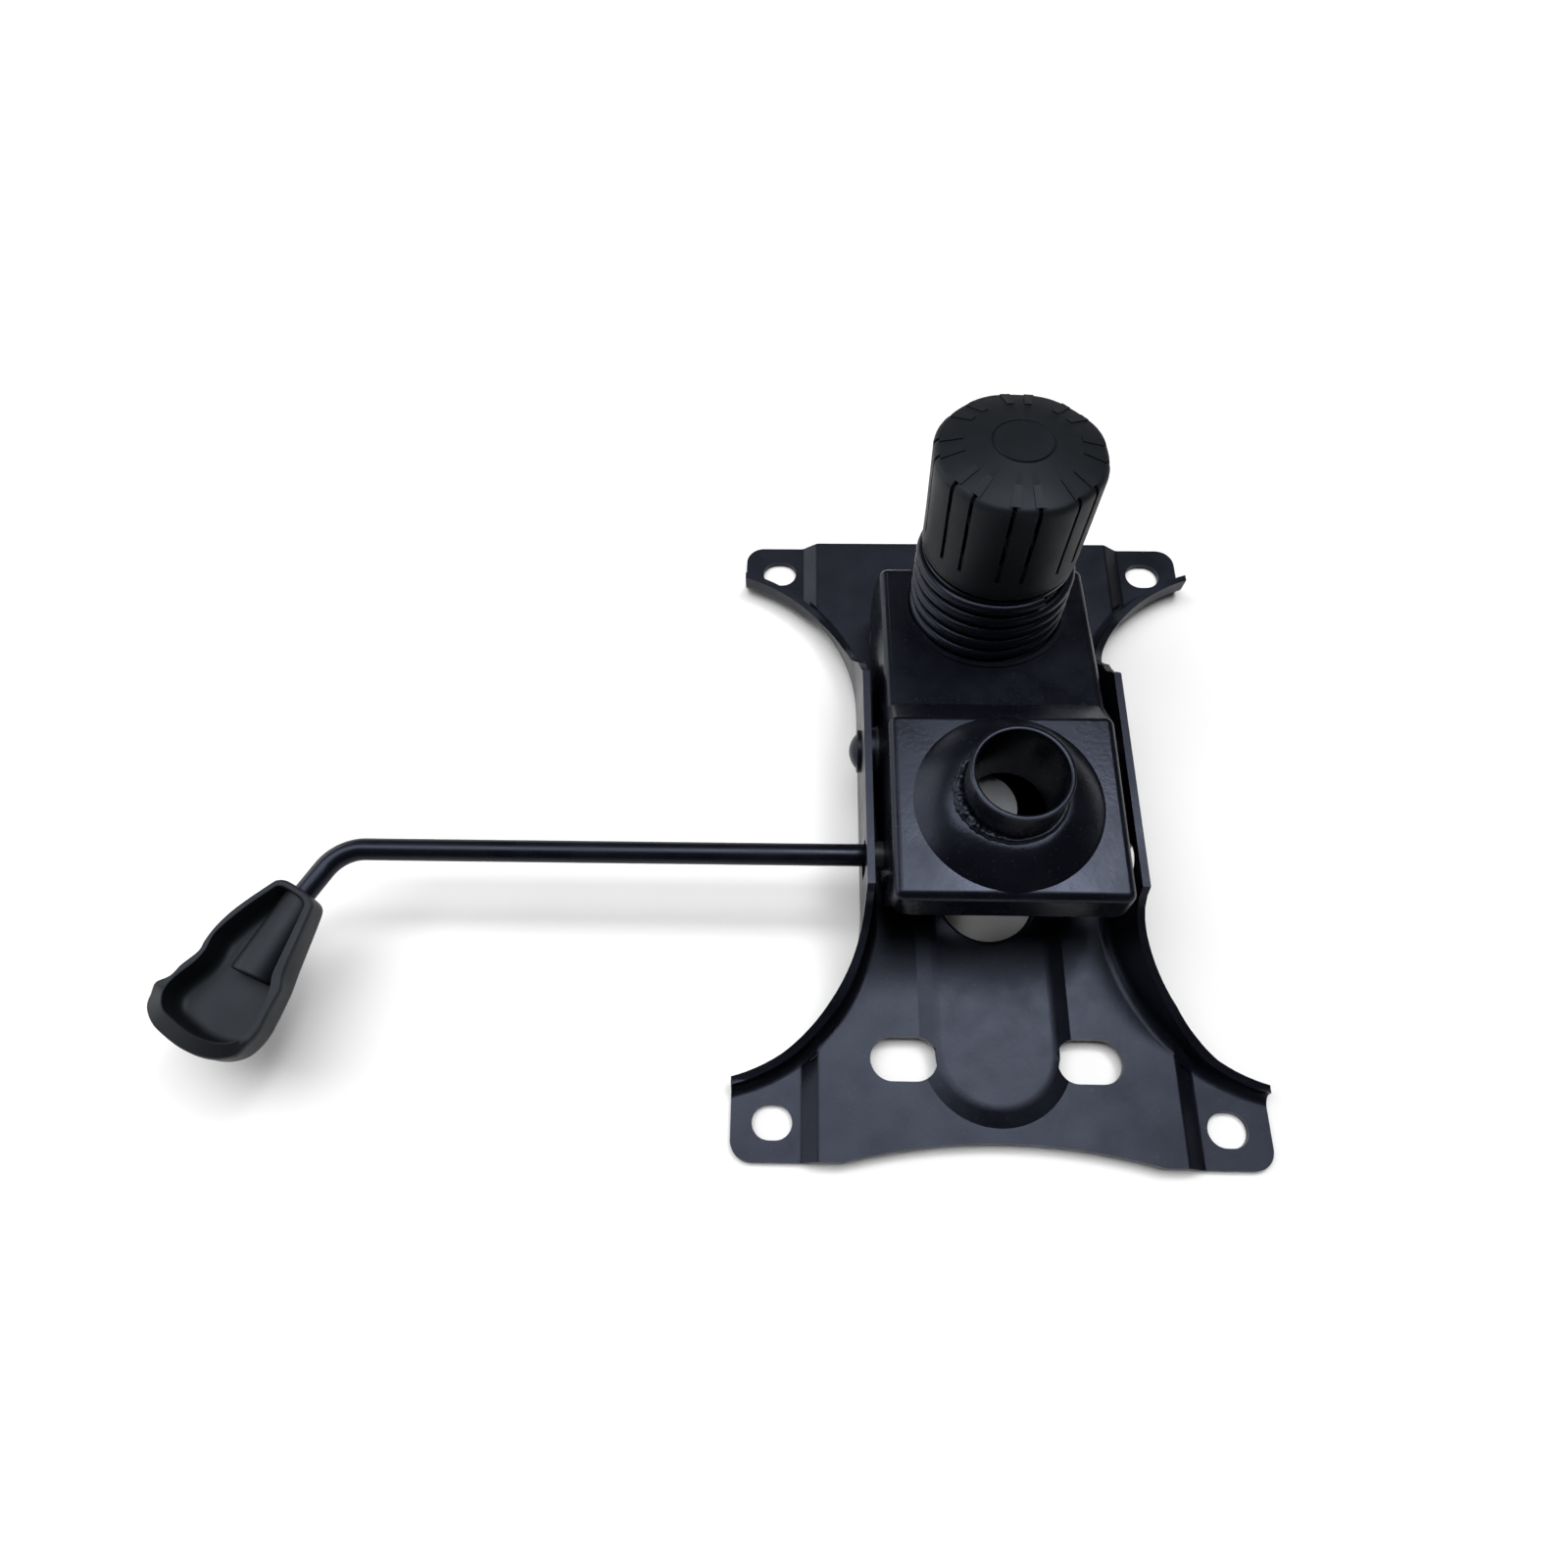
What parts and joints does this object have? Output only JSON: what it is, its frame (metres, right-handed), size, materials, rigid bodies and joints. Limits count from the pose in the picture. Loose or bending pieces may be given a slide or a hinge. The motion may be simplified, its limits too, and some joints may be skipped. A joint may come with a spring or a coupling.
{
  "type": "office chair tilt mechanism",
  "caption": "Office chair tilt mechanism lying on its seat face: slotted seat plate, pivoting housing with gas spring socket, lift lever, tension spring and grip knob.",
  "frame": {"origin": "centre of the four seat bolt slots, on the plane that meets the seat", "axes": "+Z away from the seat towards the gas spring socket's mouth, +Y towards the chair's front and the tension knob, lever leaves towards -X"},
  "size_m": [0.3644, 0.2454, 0.1197],
  "materials": {
    "seat_plate": "satin black powder coat",
    "pivot_pin": "black oxide, satin",
    "pivot_washers": "satin",
    "pivot_spacers": "zinc plated",
    "bolt_anchor": "satin black powder coat",
    "anchor_rivets": "satin black powder coat",
    "tension_bolt": "zinc plated",
    "rubber_stops": "matte",
    "tilt_housing": "satin black powder coat",
    "lift_socket": "satin black, bare rim",
    "socket_weld": "rough, painted over",
    "inner_brace": "satin black powder coat",
    "lever_guide": "satin black powder coat",
    "pivot_tube": "satin black powder coat",
    "pivot_bushes": "natural nylon",
    "spring_seat": "satin black powder coat",
    "tension_spring": "black, oiled",
    "lever_bush": "natural nylon",
    "lever_rod": "satin black powder coat",
    "lever_handle": "fine grain",
    "lever_clip": "spring steel",
    "spring_cap": "satin black powder coat",
    "thrust_washer": "natural nylon",
    "tension_knob": "fine grain",
    "knob_nut": "zinc plated",
    "knob_disc": "fine grain"
  },
  "bodies": {
    "seat_frame": {"seat_plate": "seat_plate", "pivot_pin": "pivot_pin", "pivot_washers": "pivot_washers", "pivot_spacers": "pivot_spacers", "bolt_anchor": "bolt_anchor", "anchor_rivets": "anchor_rivets", "tension_bolt": "tension_bolt", "rubber_stops": "rubber_stops"},
    "housing": {"tilt_housing": "tilt_housing", "lift_socket": "lift_socket", "socket_weld": "socket_weld", "inner_brace": "inner_brace", "lever_guide": "lever_guide", "pivot_tube": "pivot_tube", "pivot_bushes": "pivot_bushes", "spring_seat": "spring_seat", "tension_spring": "tension_spring"},
    "lever_sleeve": {"lever_bush": "lever_bush"},
    "lever": {"lever_rod": "lever_rod", "lever_handle": "lever_handle", "lever_clip": "lever_clip"},
    "thrust": {"spring_cap": "spring_cap", "thrust_washer": "thrust_washer"},
    "knob": {"tension_knob": "tension_knob", "knob_nut": "knob_nut", "knob_disc": "knob_disc"}
  },
  "joints": [
    {"name": "tilt", "type": "hinge", "parent": "seat_frame", "child": "housing", "pos_m": [0, 0.015, 0.028], "axis": [1, 0, 0], "range_deg": [0, 9], "stiffness_Nm_per_rad": 40, "springref_deg": -8.59, "deforming": ["tension_spring"]},
    {"name": "tilt_lock_slide", "type": "slide", "parent": "housing", "child": "lever_sleeve", "axis": [1, 0, 0], "range_m": [0, 0.005]},
    {"name": "lever_lift", "type": "hinge", "parent": "lever_sleeve", "child": "lever", "pos_m": [-0.04, -0.028, 0.0365], "axis": [1, 0, 0], "range_deg": [0, 13]},
    {"name": "knob_rise", "type": "slide", "parent": "seat_frame", "child": "thrust", "axis": [0, 0.1219, 0.9925], "range_m": [0, 0.003]},
    {"name": "knob_turn", "type": "hinge", "parent": "thrust", "child": "knob", "pos_m": [0, 0.07128, 0.0757], "axis": [0, 0.1219, 0.9925], "range_deg": [0, 720]}
  ],
  "couplings": [
    {"joint": "knob_rise", "follows": "knob_turn", "m_per_rad": 0.00023873}
  ]
}
